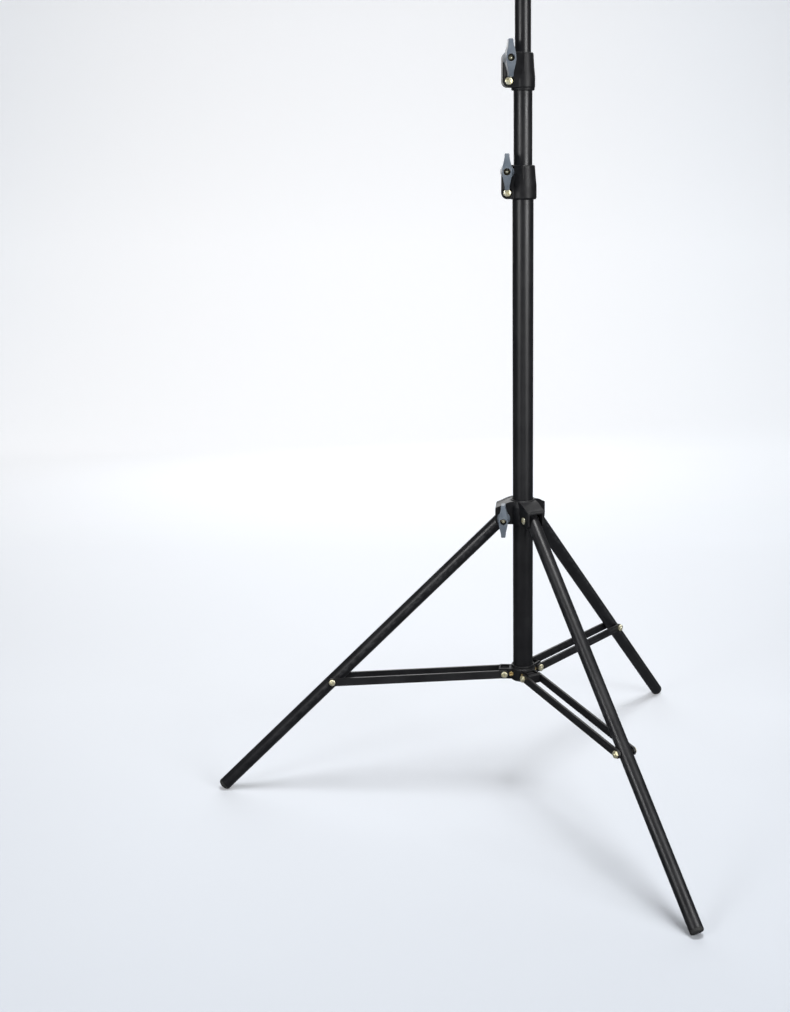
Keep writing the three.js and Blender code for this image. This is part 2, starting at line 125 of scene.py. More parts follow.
def cleaned(mesh):
    """Merges doubles and turns every face outwards."""
    bm = bmesh.new()
    bm.from_mesh(mesh)
    bmesh.ops.remove_doubles(bm, verts=bm.verts, dist=1e-4)
    bmesh.ops.recalc_face_normals(bm, faces=bm.faces)
    bm.to_mesh(mesh)
    bm.free()
    return shaded(mesh)


def turned_mesh(name, profile, sides=FINE):
    """A profile of (radius, height) points turned about Z, with a UV map that follows the surface."""
    verts = []
    for k in range(sides):
        angle = 2 * pi * k / sides
        verts += [(r * cos(angle), r * sin(angle), z) for r, z in profile]
    travel = [0.0]
    for (r0, z0), (r1, z1) in zip(profile, profile[1:]):
        travel.append(travel[-1] + Vector((r1 - r0, z1 - z0)).length)
    girth = max(r for r, _ in profile) * 2 * pi
    n = len(profile)
    faces, corners = [], []
    for k in range(sides):
        for i in range(n - 1):
            quad = [(k, i), ((k + 1) % sides, i), ((k + 1) % sides, i + 1), (k, i + 1)]
            uvs = [(k, i), (k + 1, i), (k + 1, i + 1), (k, i + 1)]
            if profile[i][0] < 1e-6:
                del quad[1], uvs[1]
            elif profile[i + 1][0] < 1e-6:
                del quad[2], uvs[2]
            faces.append([a * n + b for a, b in quad])
            corners += [(a / sides * girth * MM, travel[b] * MM) for a, b in uvs]
    mesh = bpy.data.meshes.new(name)
    mesh.from_pydata(verts, [], faces)
    layer = mesh.uv_layers.new(name="surface")
    for loop, uv in zip(layer.data, corners):
        loop.uv = uv
    return cleaned(mesh)


def rounded(profile, radius, steps=4):
    """The profile with each inner corner replaced by a short arc."""
    out = [profile[0]]
    for before, corner, after in zip(profile, profile[1:], profile[2:]):
        a, b, c = Vector(before), Vector(corner), Vector(after)
        reach = min(radius, (a - b).length * 0.45, (c - b).length * 0.45)
        start, end = b + (a - b).normalized() * reach, b + (c - b).normalized() * reach
        for k in range(steps + 1):
            t = k / steps
            out.append(tuple((1 - t) ** 2 * start + 2 * t * (1 - t) * b + t ** 2 * end))
    return out + [profile[-1]]


def bezier(a, b, c, d, steps=14):
    points = []
    for k in range(steps + 1):
        t = k / steps
        weights = ((1 - t) ** 3, 3 * t * (1 - t) ** 2, 3 * t * t * (1 - t), t ** 3)
        points.append(tuple(sum(w * p[i] for w, p in zip(weights, (a, b, c, d))) for i in (0, 1)))
    return points


def thread(radius, depth, pitch, low, high):
    """Profile points of the ridges of a thread between two heights."""
    points, z = [], low
    while z + pitch <= high:
        points += [(radius - depth, z), (radius, z + 0.4 * pitch), (radius, z + 0.6 * pitch)]
        z += pitch
    return points


def rod(radius, low, high, sides=SMALL):
    return turned_mesh("rod", [(0, low), (radius, low), (radius, high), (0, high)], sides)


def prism(outline, low, high):
    """An outline of (x, y) points raised from low to high along Z."""
    n = len(outline)
    verts = [(x, y, z) for z in (low, high) for x, y in outline]
    faces = [list(range(n))[::-1], list(range(n, 2 * n))]
    faces += [[i, (i + 1) % n, (i + 1) % n + n, i + n] for i in range(n)]
    mesh = bpy.data.meshes.new("prism")
    mesh.from_pydata(verts, [], faces)
    return cleaned(mesh)


def slab(x, y, z):
    outline = [(x[0], y[0]), (x[1], y[0]), (x[1], y[1]), (x[0], y[1])]
    return prism(outline, *z)


def side_view(outline, low, high):
    """An outline of (x, z) points, running from y = low to y = high."""
    mesh = prism(outline, -high, -low)
    mesh.transform(turn(90, "X"))
    return mesh


def arc(centre, radius, start, end, steps=12):
    x, y = centre
    angles = [radians(start + (end - start) * k / steps) for k in range(steps + 1)]
    return [(x + radius * cos(a), y + radius * sin(a)) for a in angles]


def placed(mesh, *matrices):
    for matrix in matrices:
        mesh.transform(matrix)
    return mesh


def cross_rod(radius, low, high, x=0.0, z=0.0, sides=SMALL):
    return placed(rod(radius, low, high, sides), ACROSS, shift(x, 0, z))


def evaluated_mesh(made, *helpers):
    """The mesh with its modifiers applied. The object and its helpers are then removed."""
    graph = bpy.context.evaluated_depsgraph_get()
    graph.update()
    mesh = bpy.data.meshes.new_from_object(made.evaluated_get(graph))
    for used in (made, *helpers):
        bpy.data.objects.remove(used)
    return mesh


def boolean(first, operation, meshes):
    """One mesh joined with, cut by or kept within several others."""
    base = new_object("base", first)
    others = [new_object("tool", mesh) for mesh in meshes]
    for other in others:
        step = base.modifiers.new("step", "BOOLEAN")
        step.operation, step.object, step.solver = operation, other, "MANIFOLD"
    return shaded(evaluated_mesh(base, *others))


def moulded_mesh(name, solids, cuts, voxel, rounds=3):
    """Joins solids, takes the cuts out and rounds every edge as a mould does."""
    body = boolean(solids[0], "UNION", solids[1:])
    made = new_object(name, boolean(body, "DIFFERENCE", cuts))
    remesh = made.modifiers.new("remesh", "REMESH")
    remesh.mode, remesh.voxel_size, remesh.adaptivity = "VOXEL", voxel, 0.0
    smooth = made.modifiers.new("smooth", "SMOOTH")
    smooth.factor, smooth.iterations = 0.5, rounds
    mesh = evaluated_mesh(made)
    mesh.shade_smooth()
    return mesh


def joined(meshes):
    bm = bmesh.new()
    for mesh in meshes:
        bm.from_mesh(mesh)
    mesh = bpy.data.meshes.new("joined")
    bm.to_mesh(mesh)
    bm.free()
    return mesh


def piece(name, mesh, matrix, *nodes):
    """Puts a mesh in the row frame, in metres, in place of CAD nodes, on their body and in their finish."""
    mesh.transform(Matrix.Scale(MM, 4) @ matrix)
    mesh.name = name
    mesh.materials.clear()
    mesh.materials.append(MATERIALS[SLOTS[nodes[0]]])
    made = new_object(name, mesh)
    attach(made, BODIES[nodes[0]])
    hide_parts(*nodes)
    return made


# ---- Shader node groups ----

def group_tree(name, inputs, outputs, kind="ShaderNodeTree"):
    tree = bpy.data.node_groups.new(name, kind)
    for label, socket_type, value in inputs:
        socket = tree.interface.new_socket(label, in_out="INPUT", socket_type=socket_type)
        if value is not None:
            socket.default_value = value
    for label, socket_type in outputs:
        tree.interface.new_socket(label, in_out="OUTPUT", socket_type=socket_type)
    return tree


def feed(tree, socket, value):
    """Links a socket to another one, or gives it a value."""
    if isinstance(value, bpy.types.NodeSocket):
        tree.links.new(value, socket)
    else:
        socket.default_value = value


def add_node(tree, kind, settings=None, **values):
    """A node with its settings, and its sockets given by name as a value or another socket."""
    node = tree.nodes.new(kind)
    for key, value in (settings or {}).items():
        setattr(node, key, value)
    for key, value in values.items():
        label = key.replace("_", " ").lower()
        feed(tree, next(s for s in node.inputs if s.name.lower() == label and s.enabled), value)
    return node


def math_node(tree, operation, *operands):
    node = add_node(tree, "ShaderNodeMath", {"operation": operation})
    for socket, operand in zip(node.inputs, operands):
        feed(tree, socket, operand)
    return node.outputs[0]


def ramp_between(tree, factor, low, high, to_low=0.0, to_high=1.0, ease="SMOOTHSTEP"):
    """Maps a factor from low and high to two other values, and no further."""
    node = add_node(tree, "ShaderNodeMapRange", {"interpolation_type": ease}, Value=factor,
                    From_Min=low, From_Max=high, To_Min=to_low, To_Max=to_high)
    return node.outputs[0]


def make_grain_group():
    """Fine moulded or sprayed grain: a height for Bump, and a soft mask for tone and gloss."""
    tree = group_tree(
        "surface_grain",
        [("Vector", "NodeSocketVector", None), ("Grain Scale", "NodeSocketFloat", 1500.0),
         ("Cloud Scale", "NodeSocketFloat", 60.0)],
        [("Height", "NodeSocketFloat"), ("Cloud", "NodeSocketFloat")],
    )
    source = tree.nodes.new("NodeGroupInput").outputs
    sink = tree.nodes.new("NodeGroupOutput").inputs
    fine = add_node(tree, "ShaderNodeTexNoise", Vector=source["Vector"], Scale=source["Grain Scale"],
                    Detail=3.0, Roughness=0.6)
    cloud = add_node(tree, "ShaderNodeTexNoise", Vector=source["Vector"], Scale=source["Cloud Scale"],
                     Detail=4.0, Roughness=0.55)
    tree.links.new(fine.outputs["Fac"], sink["Height"])
    tree.links.new(ramp_between(tree, cloud.outputs["Fac"], 0.3, 0.7), sink["Cloud"])
    return tree


def make_edge_group():
    """A mask that follows convex edges, broken up by noise: rubbed edges and fine scratches, and on the moulded
    plastic partly a painted highlight on the rims.
    """
    tree = group_tree(
        "worn_and_highlit_edges",
        [("Vector", "NodeSocketVector", None), ("Edge Start", "NodeSocketFloat", 0.53),
         ("Edge End", "NodeSocketFloat", 0.6), ("Patch Scale", "NodeSocketFloat", 140.0)],
        [("Wear", "NodeSocketFloat")],
    )
    source = tree.nodes.new("NodeGroupInput").outputs
    sink = tree.nodes.new("NodeGroupOutput").inputs
    geometry = tree.nodes.new("ShaderNodeNewGeometry")
    edge = add_node(tree, "ShaderNodeMapRange", Value=geometry.outputs["Pointiness"],
                    From_Min=source["Edge Start"], From_Max=source["Edge End"])
    patch = add_node(tree, "ShaderNodeTexNoise", Vector=source["Vector"], Scale=source["Patch Scale"],
                     Detail=5.0, Roughness=0.65)
    broken = ramp_between(tree, patch.outputs["Fac"], 0.42, 0.62)
    tree.links.new(math_node(tree, "MULTIPLY", edge.outputs[0], broken), sink["Wear"])
    return tree


def make_dust_group():
    """A thin film of dust on faces that look up, in soft patches."""
    tree = group_tree(
        "settled_dust",
        [("Vector", "NodeSocketVector", None), ("Amount", "NodeSocketFloat", 0.1)],
        [("Dust", "NodeSocketFloat")],
    )
    source = tree.nodes.new("NodeGroupInput").outputs
    sink = tree.nodes.new("NodeGroupOutput").inputs
    geometry = tree.nodes.new("ShaderNodeNewGeometry")
    normal = add_node(tree, "ShaderNodeSeparateXYZ", Vector=geometry.outputs["Normal"])
    facing = ramp_between(tree, normal.outputs["Z"], 0.35, 1.0)
    patch = add_node(tree, "ShaderNodeTexNoise", Vector=source["Vector"], Scale=90.0, Detail=6.0,
                     Roughness=0.7)
    film = math_node(tree, "MULTIPLY", facing, ramp_between(tree, patch.outputs["Fac"], 0.35, 0.7))
    tree.links.new(math_node(tree, "MULTIPLY", film, source["Amount"]), sink["Dust"])
    return tree


GRAIN = make_grain_group()
EDGES = make_edge_group()
DUST = make_dust_group()


# ---- Materials ----

def new_material(name):
    material = bpy.data.materials.new(name)
    material.use_nodes = True
    tree = material.node_tree
    return material, tree, tree.nodes["Principled BSDF"]


def use_group(tree, group, **values):
    node = tree.nodes.new("ShaderNodeGroup")
    node.node_tree = group
    for key, value in values.items():
        feed(tree, node.inputs[key.replace("_", " ")], value)
    return node.outputs


def blended(tree, factor, first, second):
    """Mixes two colours, each a socket or three numbers."""
    node = add_node(tree, "ShaderNodeMix", {"data_type": "RGBA"})
    tree.links.new(factor, node.inputs["Factor"])
    for socket, value in zip((node.inputs[6], node.inputs[7]), (first, second)):
        feed(tree, socket, (*value, 1.0) if isinstance(value, tuple) else value)
    return node.outputs[2]


def bumped(tree, shader, height, distance):
    bump = add_node(tree, "ShaderNodeBump", Height=height, Distance=distance, Strength=1.0)
    tree.links.new(bump.outputs["Normal"], shader.inputs["Normal"])


def object_place(tree):
    return tree.nodes.new("ShaderNodeTexCoord").outputs["Object"]


def coated_tube(name, tone, bright, gloss):
    """Satin powder coat: faint orange peel, cloudy gloss, and drawn lines along the tube."""
    material, tree, shader = new_material(name)
    coordinates = tree.nodes.new("ShaderNodeTexCoord")
    place = coordinates.outputs["Object"]
    grain = use_group(tree, GRAIN, Vector=place, Grain_Scale=900.0, Cloud_Scale=35.0)
    stretch = add_node(tree, "ShaderNodeMapping", Vector=coordinates.outputs["UV"])
    stretch.inputs["Scale"].default_value = (2600.0, 9.0, 1.0)
    lines = add_node(tree, "ShaderNodeTexNoise", Vector=stretch.outputs[0], Scale=1.0, Detail=2.0)
    base = blended(tree, grain["Cloud"], tone, bright)
    edge_mask = use_group(tree, EDGES, Vector=place)["Wear"]
    base = blended(tree, math_node(tree, "MULTIPLY", edge_mask, 0.35), base, (0.11, 0.11, 0.115))
    dust = use_group(tree, DUST, Vector=place, Amount=0.05)["Dust"]
    tree.links.new(blended(tree, dust, base, (0.3, 0.29, 0.28)), shader.inputs["Base Color"])
    cloudy = math_node(tree, "MULTIPLY_ADD", grain["Cloud"], 0.07, gloss)
    rough = math_node(tree, "MULTIPLY_ADD", lines.outputs["Fac"], 0.05, cloudy)
    tree.links.new(rough, shader.inputs["Roughness"])
    height = math_node(tree, "MULTIPLY_ADD", lines.outputs["Fac"], 0.5, grain["Height"])
    bumped(tree, shader, height, 0.00003)
    return material


def moulded_plastic(name, tone, bright, gloss, grain_scale=1700.0, depth=0.00006,
                    rub_and_highlight=(0.09, 0.09, 0.095), shine=0.5):
    """Moulded plastic: spark-eroded grain, slight mottling, a little dust, and rubbed edges in a lighter colour
    that is partly a painted highlight on the rims.
    """
    material, tree, shader = new_material(name)
    place = object_place(tree)
    grain = use_group(tree, GRAIN, Vector=place, Grain_Scale=grain_scale, Cloud_Scale=110.0)
    base = blended(tree, grain["Cloud"], tone, bright)
    edge_mask = use_group(tree, EDGES, Vector=place)["Wear"]
    # the edges turn lighter: partly rubbed wear, partly a painted highlight on the rims
    base = blended(tree, math_node(tree, "MULTIPLY", edge_mask, 0.5), base, rub_and_highlight)
    dust = use_group(tree, DUST, Vector=place, Amount=0.04)["Dust"]
    tree.links.new(blended(tree, dust, base, (0.32, 0.31, 0.3)), shader.inputs["Base Color"])
    rough = math_node(tree, "MULTIPLY_ADD", grain["Cloud"], 0.08, gloss)
    tree.links.new(math_node(tree, "MULTIPLY_ADD", edge_mask, -0.12, rough), shader.inputs["Roughness"])
    shader.inputs["Specular IOR Level"].default_value = shine
    bumped(tree, shader, grain["Height"], depth)
    return material


def plated_metal(name, tone, tint, gloss, scratch_scale=420.0, depth=0.00001, metallic=0.75):
    """Plated or turned metal: colour drift of the plating, fine scratches and handling marks."""
    material, tree, shader = new_material(name)
    place = object_place(tree)
    grain = use_group(tree, GRAIN, Vector=place, Grain_Scale=scratch_scale, Cloud_Scale=260.0)
    tree.links.new(blended(tree, grain["Cloud"], tone, tint), shader.inputs["Base Color"])
    rough = math_node(tree, "MULTIPLY_ADD", grain["Height"], 0.16, gloss)
    tree.links.new(rough, shader.inputs["Roughness"])
    shader.inputs["Metallic"].default_value = metallic
    bumped(tree, shader, grain["Height"], depth)
    return material


MATERIALS = {
    "black_tube": coated_tube("satin_black_tube", (0.0075, 0.0075, 0.009), (0.0125, 0.0125, 0.014), 0.3),
    "black_strip": coated_tube("satin_black_strip", (0.0075, 0.0075, 0.0085), (0.013, 0.013, 0.0145), 0.38),
    "black_plastic": moulded_plastic("black_moulding", (0.007, 0.007, 0.008), (0.012, 0.012, 0.0135), 0.4,
                                     shine=0.3),
    "inner_plastic": moulded_plastic("inner_moulding", (0.02, 0.02, 0.021), (0.032, 0.032, 0.034), 0.45),
    # the knob's last colour is its lighter edges, partly a painted highlight
    "knob_plastic": moulded_plastic("knob_grey_blue", (0.105, 0.127, 0.155), (0.138, 0.162, 0.19), 0.36,
                                    1300.0, 0.00004, (0.26, 0.3, 0.36)),
    "foot_rubber": moulded_plastic("foot_rubber", (0.011, 0.011, 0.011), (0.02, 0.02, 0.0195), 0.62,
                                   900.0, 0.00009, (0.05, 0.05, 0.048)),
    "zinc_screw": plated_metal("yellow_zinc", (0.86, 0.79, 0.5), (0.9, 0.87, 0.68), 0.3),
    "brass": plated_metal("turned_brass", (0.72, 0.52, 0.22), (0.8, 0.62, 0.32), 0.2),
    "nickel": plated_metal("bright_nickel", (0.78, 0.77, 0.74), (0.84, 0.84, 0.82), 0.06,
                           900.0, 0.000004, 1.0),
}


# ---- Mast ----

TUBE_WALL = 1.15


def mast_tube(name):
    """A drawn tube with deburred ends."""
    outer = TUBE_RADIUS[name]
    inner = outer - TUBE_WALL
    low, high = span(f"{name}_mast_tube", 2)
    profile = [(inner, low + 5), (inner, low), (outer, low), (outer, high), (inner, high), (inner, low + 5)]
    piece(f"{name}_tube", turned_mesh(name, rounded(profile, 0.35)), Matrix(), f"{name}_mast_tube")


def foot_plug():
    """The stem under the base casting and the disc that closes the tube."""
    low = span("mast_foot_plug", 2)[0]
    stem, disc, shoulder, top = 4.7, 11.2, low + 5.3, low + 17
    profile = [(0, low), (stem - 0.5, low), (stem, low + 0.6), (stem, shoulder), (disc, shoulder),
               (disc, top), (0, top)]
    piece("foot_stem", turned_mesh("plug", rounded(profile, 0.4), SMALL), Matrix(), "mast_foot_plug")


def spigot():
    """One turned bar: sleeve, chamfer, two flanges, neck and threaded stud."""
    low, high = span("spigot", 2)
    bore, tube_end = 9.625, low + 16.3  # the sleeve's hollow, which holds the tube
    outer, pin, neck = 12.3, 8.0, 6.35
    sleeve, shoulder = low + 19, low + 22.2
    stud = shoulder + 28.8
    profile = [
        (0, tube_end), (bore, tube_end), (bore, low + 0.6), (10.1, low), (outer - 0.4, low),
        (outer, low + 0.4), (outer, sleeve), (12.1, sleeve + 0.4), (8.5, shoulder), (8.2, shoulder + 0.3),
        (pin, shoulder + 0.9), (pin, shoulder + 5.5), (7.6, shoulder + 6.1), (6.6, shoulder + 6.8),
        (neck, shoulder + 7.6), (neck, shoulder + 22.3), (6.6, shoulder + 23.0), (7.7, shoulder + 23.5),
        (pin, shoulder + 24.0), (pin, shoulder + 28.2), (7.4, stud), (3.0, stud), (2.65, stud + 0.4),
        *thread(3.1, 0.45, 1.05, stud + 0.9, high - 0.8), (2.65, high - 0.7), (2.1, high), (0, high),
    ]
    piece("spigot_bar", turned_mesh("spigot", profile), Matrix(), "spigot")
    screw = [(0, 9.9), (1.9, 9.9), (1.9, 12.7), (2.6, 12.7), (2.6, 14.0), (1.5, 15.2), (0, 15.3)]
    matrix = turn(CLAMP_TURNS["upper"]) @ shift(z=(low + sleeve) / 2) @ ACROSS
    piece("set_screw", turned_mesh("set_screw", rounded(screw, 0.35), SMALL), matrix, "spigot_set_screw")


# ---- Clamps ----

# Each clamp's ear axis, widest radius, height of the lip at its foot, and the tubes in its two halves.
CLAMPS = {
    "lower": dict(ear=18.5, girth=16.2, lip=0.8, holds="lower", slides="middle"),
    "upper": dict(ear=17.5, girth=14.3, lip=3.4, holds="middle", slides="upper"),
}
BOLT_DEPTH, SCREW_DEPTH = 7.1, 31.7  # clamp top to knob bolt and to body screw
EAR_RADIUS = 7.3
POCKET = 9.2  # depth of the fastener pockets from the ear's middle plane
POCKET_RADIUS = 6
KNOB_SEAT = 13.4  # an ear's middle plane to the knob's foot


def clamp_frame(name, depth):
    """On the ear, at a depth below the clamp's top, the bolts running along Y."""
    height = span(f"{name}_clamp_body", 2)[1] - depth
    return turn(CLAMP_TURNS[name]) @ shift(-CLAMPS[name]["ear"], 0, height)


def clamp(name):
    """Split clamp: a waisted barrel, a tapering ear with fastener pockets, and a saw-cut split."""
    d = CLAMPS[name]
    low, high = span(f"{name}_clamp_body", 2)
    bolt, screw, ear, girth = high - BOLT_DEPTH, high - SCREW_DEPTH, d["ear"], d["girth"]
    lip, crest = low + d["lip"], EAR_RADIUS - 0.3
    outline = [(0, low), (girth - 0.8, low), (girth - 0.6, lip), (girth, lip + 0.7), (girth, low + 16),
               (girth - 1.1, low + 27), (girth - 2, high - 0.8), (girth - 3, high), (0, high)]
    barrel = turned_mesh("barrel", rounded(outline, 1.0), MOULDED)
    side = arc((-ear, bolt), crest, 90, 180) + arc((-ear, screw), EAR_RADIUS, 180, 270)
    side += [(0, screw - EAR_RADIUS), (0, bolt + crest)]
    tip = ear + EAR_RADIUS
    half = [(0, girth - 0.6), (-9, 12.4), (-tip + 4, 10.6), (-tip + 1.2, 9.4), (-tip, 7.4)]
    plan = prism(half + [(x, -y) for x, y in half][::-1], low, high)
    flank = boolean(side_view(side, -girth, girth), "INTERSECT", [plan])
    boss = cross_rod(EAR_RADIUS - 0.1, 0.3 - KNOB_SEAT, 0, -ear, bolt)
    sliding = TUBE_RADIUS[d["slides"]] + 0.35
    far = 20  # past either side of the ear
    cuts = [
        rod(TUBE_RADIUS[d["holds"]] + 0.2, low - 1, high - 9, MOULDED),
        rod(sliding, low - 1, high + 1, MOULDED),
        slab((-40, 2 - sliding), (-0.9, 0.9), (low - 1, high + 1)),
        cross_rod(BOLT_HOLE, -far, far, -ear, screw),
        cross_rod(3.0, -far, far, -ear, bolt),
        cross_rod(POCKET_RADIUS, -far, -POCKET, -ear, screw),
        cross_rod(POCKET_RADIUS, POCKET, far, -ear, screw),
        cross_rod(POCKET_RADIUS, POCKET, far, -ear, bolt),
    ]
    mesh = moulded_mesh(name, [barrel, flank, boss], cuts, 0.37)
    piece(f"{name}_clamp", mesh, turn(CLAMP_TURNS[name]), f"{name}_clamp_body")
    shank, seat = 2.7, 9.5
    profile = [
        (0, -28.4), (1.0, -28.25), (1.8, -27.8), (2.3, -27.1), *thread(shank, 0.35, 0.9, -26.9, -13.6),
        (shank, -13.4), (shank, seat), (5.2, seat), *bezier((5.2, 9.7), (5.1, 11.2), (3, 12.3), (0, 12.4), 8),
    ]
    stud = turned_mesh("bolt", profile, SMALL)
    piece(f"{name}_stud", stud, clamp_frame(name, BOLT_DEPTH) @ ACROSS, f"{name}_knob_bolt")


# ---- Wing knobs ----

def knob_mesh():
    """Foot at the origin, bolt along +Z, wings along Y: a bow-tie seen end on, flared seen side on."""
    half, depth, foot, bore = 20.75, 19.5, 8.2, 4.1
    flare = bezier((foot, 0), (foot + 2, 3), (half - 3.5, 2.5), (half, 5.6))
    crown = bezier((half, 16.6), (half - 6, 18.5), (7.8, depth), (0, depth))
    side = flare + crown
    side += [(-x, z) for x, z in side][::-1]
    face = [(5.9, 0), (5.2, 6), (4.2, 10.2), (3.3, 14), (2.75, 17.5), (2.9, 19.2), (2.3, half)]
    face += [(-x, y) for x, y in face][::-1]
    face += [(x, -y) for x, y in face][::-1]
    wings = boolean(prism(face, 0, depth), "INTERSECT", [placed(side_view(side, -9, 9), turn(90))])
    hub = turned_mesh("hub", rounded([(0, 0), (foot, 0), (foot, 2), (5.6, depth), (0, depth)], 0.8), 64)
    return moulded_mesh("knob", [hub, wings], [rod(bore, -1, depth + 1, 64)], 0.3, 4)


def knobs():
    """Three of one knob: on each clamp's ear, and on the left clevis of the collar."""
    places = {name: clamp_frame(name, BOLT_DEPTH) @ shift(y=-KNOB_SEAT) @ turn(90, "X") for name in CLAMPS}
    places["collar"] = turn(AZIMUTHS["left"]) @ shift(PIVOT_RADIUS, COLLAR_SEAT, PIVOT_HEIGHT) @ ACROSS
    master = knob_mesh()
    lip = rounded([(3, 4), (3, 0.4), (4, 0.4), (4, 8), (3, 8), (3, 4)], 0.25)
    for name, place in places.items():
        piece(f"{name}_wing_knob", master.copy(), place, f"{name}_knob")
        piece(f"{name}_wing_insert", turned_mesh("insert", lip, SMALL), place, f"{name}_knob_insert")


# ---- Leg collar and base casting ----

# From a clevis's middle plane to its flank, to the side of the leg's slot and to the knob's seat.
COLLAR_EAR, COLLAR_GAP, COLLAR_SEAT = 12.0, 8.7, 13.8
# On the left clevis's other side: its flank, and the clamp flap's two faces.
SPLIT_EAR, FLAP_FACE, FLAP_BACK = 12.2, 14, 20.5


def collar():
    """Split ring with three clevises; the left one carries the clamp flap and its bolt."""
    low, high, reach, rim, bore = -8.5, 22.5, 34.5, 17.4, 13.1
    side = rounded([(10, low), (24, low), (reach, low), (reach, 4), (reach, 13), (30, 14.4), (22, 18.4),
                    (15.5, 20.8), (10, 21.2)], 9, 8)
    outline = [(0, low), (rim, low), (rim, 14), (15, high), (0, high)]
    solids = [turned_mesh("ring", rounded(outline, 0.8), MOULDED)]
    cuts = [rod(bore, low - 1, high + 1, MOULDED)]
    for name, azimuth in AZIMUTHS.items():
        left = name == "left"
        flank, slot = (SPLIT_EAR, FLAP_FACE) if left else (COLLAR_EAR, COLLAR_GAP)
        solids.append(placed(side_view(side, -flank, COLLAR_EAR), turn(azimuth)))
        tools = [slab((15.4, reach + 5), (-slot, COLLAR_GAP), (low - 1, 8.8)),
                 cross_rod(BOLT_HOLE, -25, 25, PIVOT_RADIUS)]
        if not left:
            tools.append(cross_rod(5, -COLLAR_EAR - 1, -COLLAR_EAR + 0.5, PIVOT_RADIUS))
        cuts += [placed(tool, turn(azimuth)) for tool in tools]
    solids.append(placed(side_view(side, -FLAP_BACK, -FLAP_FACE), turn(AZIMUTHS["left"])))
    seat = cross_rod(EAR_RADIUS, 9, COLLAR_SEAT - 0.3, PIVOT_RADIUS)
    solids.append(placed(seat, turn(AZIMUTHS["left"])))
    split = slab((0, reach + 5), (-FLAP_FACE, -SPLIT_EAR), (low - 1, high + 1))
    cuts.append(placed(split, turn(AZIMUTHS["left"])))
    mesh = moulded_mesh("collar", solids, cuts, 0.46)
    piece("leg_collar_ring", mesh, shift(z=PIVOT_HEIGHT), "leg_collar")
    place = turn(AZIMUTHS["left"]) @ shift(PIVOT_RADIUS, 0, PIVOT_HEIGHT) @ ACROSS
    profile = [(0, -21.5), (SHANK, -21.5), (SHANK, 14), *thread(SHANK, 0.3, 0.8, 14.2, 28.2),
               (2.0, 28.6), (0, 28.8)]
    bolt = boolean(turned_mesh("shank", profile, SMALL), "UNION", [hex_block(5.2, -24.1, -20.8)])
    piece("collar_stud", bolt, place, "collar_knob_bolt")
    bore, waist, flange = BOLT_HOLE, 3.4, 4.4
    spool = [(bore, -11), (bore, -13.7), (flange, -13.7), (flange, -12.7), (waist, -12), (waist, -10.4),
             (flange, -9.7), (flange, -8.7), (bore, -8.7), (bore, -11)]
    piece("collar_spacer", turned_mesh("spool", rounded(spool, 0.25), SMALL), place, "collar_bolt_spacer")


def base_casting():
    """Stepped hub round the mast's foot, with three hollow-topped lugs for the braces."""
    low, high = span("base_casting", 2)
    step, bottom, top = low + 16.3, LUG_HEIGHT - 7, LUG_HEIGHT + 7
    foot, neck, bore, drain = 16.2, 14.8, 12.9, 5
    outline = [(0, low), (14.7, low), (foot, low + 1.5), (foot, step), (neck, step + 0.6), (neck, high),
               (0, high)]
    solids = [turned_mesh("hub", rounded(outline, 0.8), MOULDED)]
    cuts = [rod(bore, low + 1.7, high + 1, MOULDED), rod(drain, low - 1, low + 3)]
    nose = bezier((26.5, bottom), (29.8, bottom), (31.5, bottom + 2), (31.5, bottom + 6), 8)
    nose += bezier((31.5, top - 3), (31.5, top - 1), (30.5, top), (28.5, top), 8)
    hollow = arc((27.3, 4.4), 2, 0, 90, 5) + [(17.7, 6.4), (17.7, -6.4)] + arc((27.3, -4.4), 2, -90, 0, 5)
    for azimuth in AZIMUTHS.values():
        lug = side_view([(10, bottom), *nose, (10, top)], -LUG_FACE, LUG_FACE)
        tools = [prism(hollow, top - 3.6, top + 1), cross_rod(BOLT_HOLE, -12, 12, PIVOT_RADIUS, LUG_HEIGHT),
                 cross_rod(1.8, -20, 20, RIVET_RADIUS, LUG_HEIGHT)]
        for reach in ((LUG_FACE, 20), (-20, -LUG_FACE)):
            tools.append(cross_rod(3.5, *reach, RIVET_RADIUS, LUG_HEIGHT))
        solids.append(placed(lug, turn(azimuth)))
        cuts += [placed(tool, turn(azimuth)) for tool in tools]
    mesh = moulded_mesh("casting", solids, cuts, 0.36)
    piece("base_hub", mesh, Matrix(), "base_casting")


# ---- Screws, nuts and rivets: one template of each, set on points by geometry nodes ----

RIVET_RADIUS = 14.9  # mast axis to the lug rivets
LUG_FACE = 8.6  # a lug's middle plane to its face
TAIL = 1.5  # length of the threaded end of a shank
CLAMP_SEAT, COLLAR_SEATS, BRACE_SEAT = 9.5, (-11.8, 12.3), 12.1  # middle plane to heads and nuts


def hex_block(corner, low, high):
    """A hexagon block along Z with its corners turned down at both ends."""
    outline = arc((0, 0), corner, 0, 300, 5)
    flat = corner - 0.55
    chamfer = [(0, low), (flat, low), (corner, low + 0.35), (corner, high - 0.35), (flat, high), (0, high)]
    return boolean(prism(outline, low, high), "INTERSECT", [turned_mesh("chamfer", chamfer, 48)])


def head_template():
    """Domed head with a cross recess, its underside at the origin."""
    dome = [(0, -0.3), (SHANK, -0.3), (SHANK, 0), (3.9, 0), (4.2, 0.3)]
    dome += bezier((4.2, 0.6), (4.15, 1.3), (2.6, 1.85), (0, 1.9), 10)
    long, narrow, deep = (-2.4, 2.4), (-0.52, 0.52), (0.5, 3)
    arms = [slab(long, narrow, deep), slab(narrow, long, deep)]
    return boolean(turned_mesh("head", dome, 48), "DIFFERENCE", arms)


def tail_template():
    ridges = thread(SHANK, 0.3, 0.5, 0.2, 1.3)
    return turned_mesh("tail", [(0, 0), (SHANK, 0), *ridges, (1.9, TAIL), (0, TAIL)], SMALL)


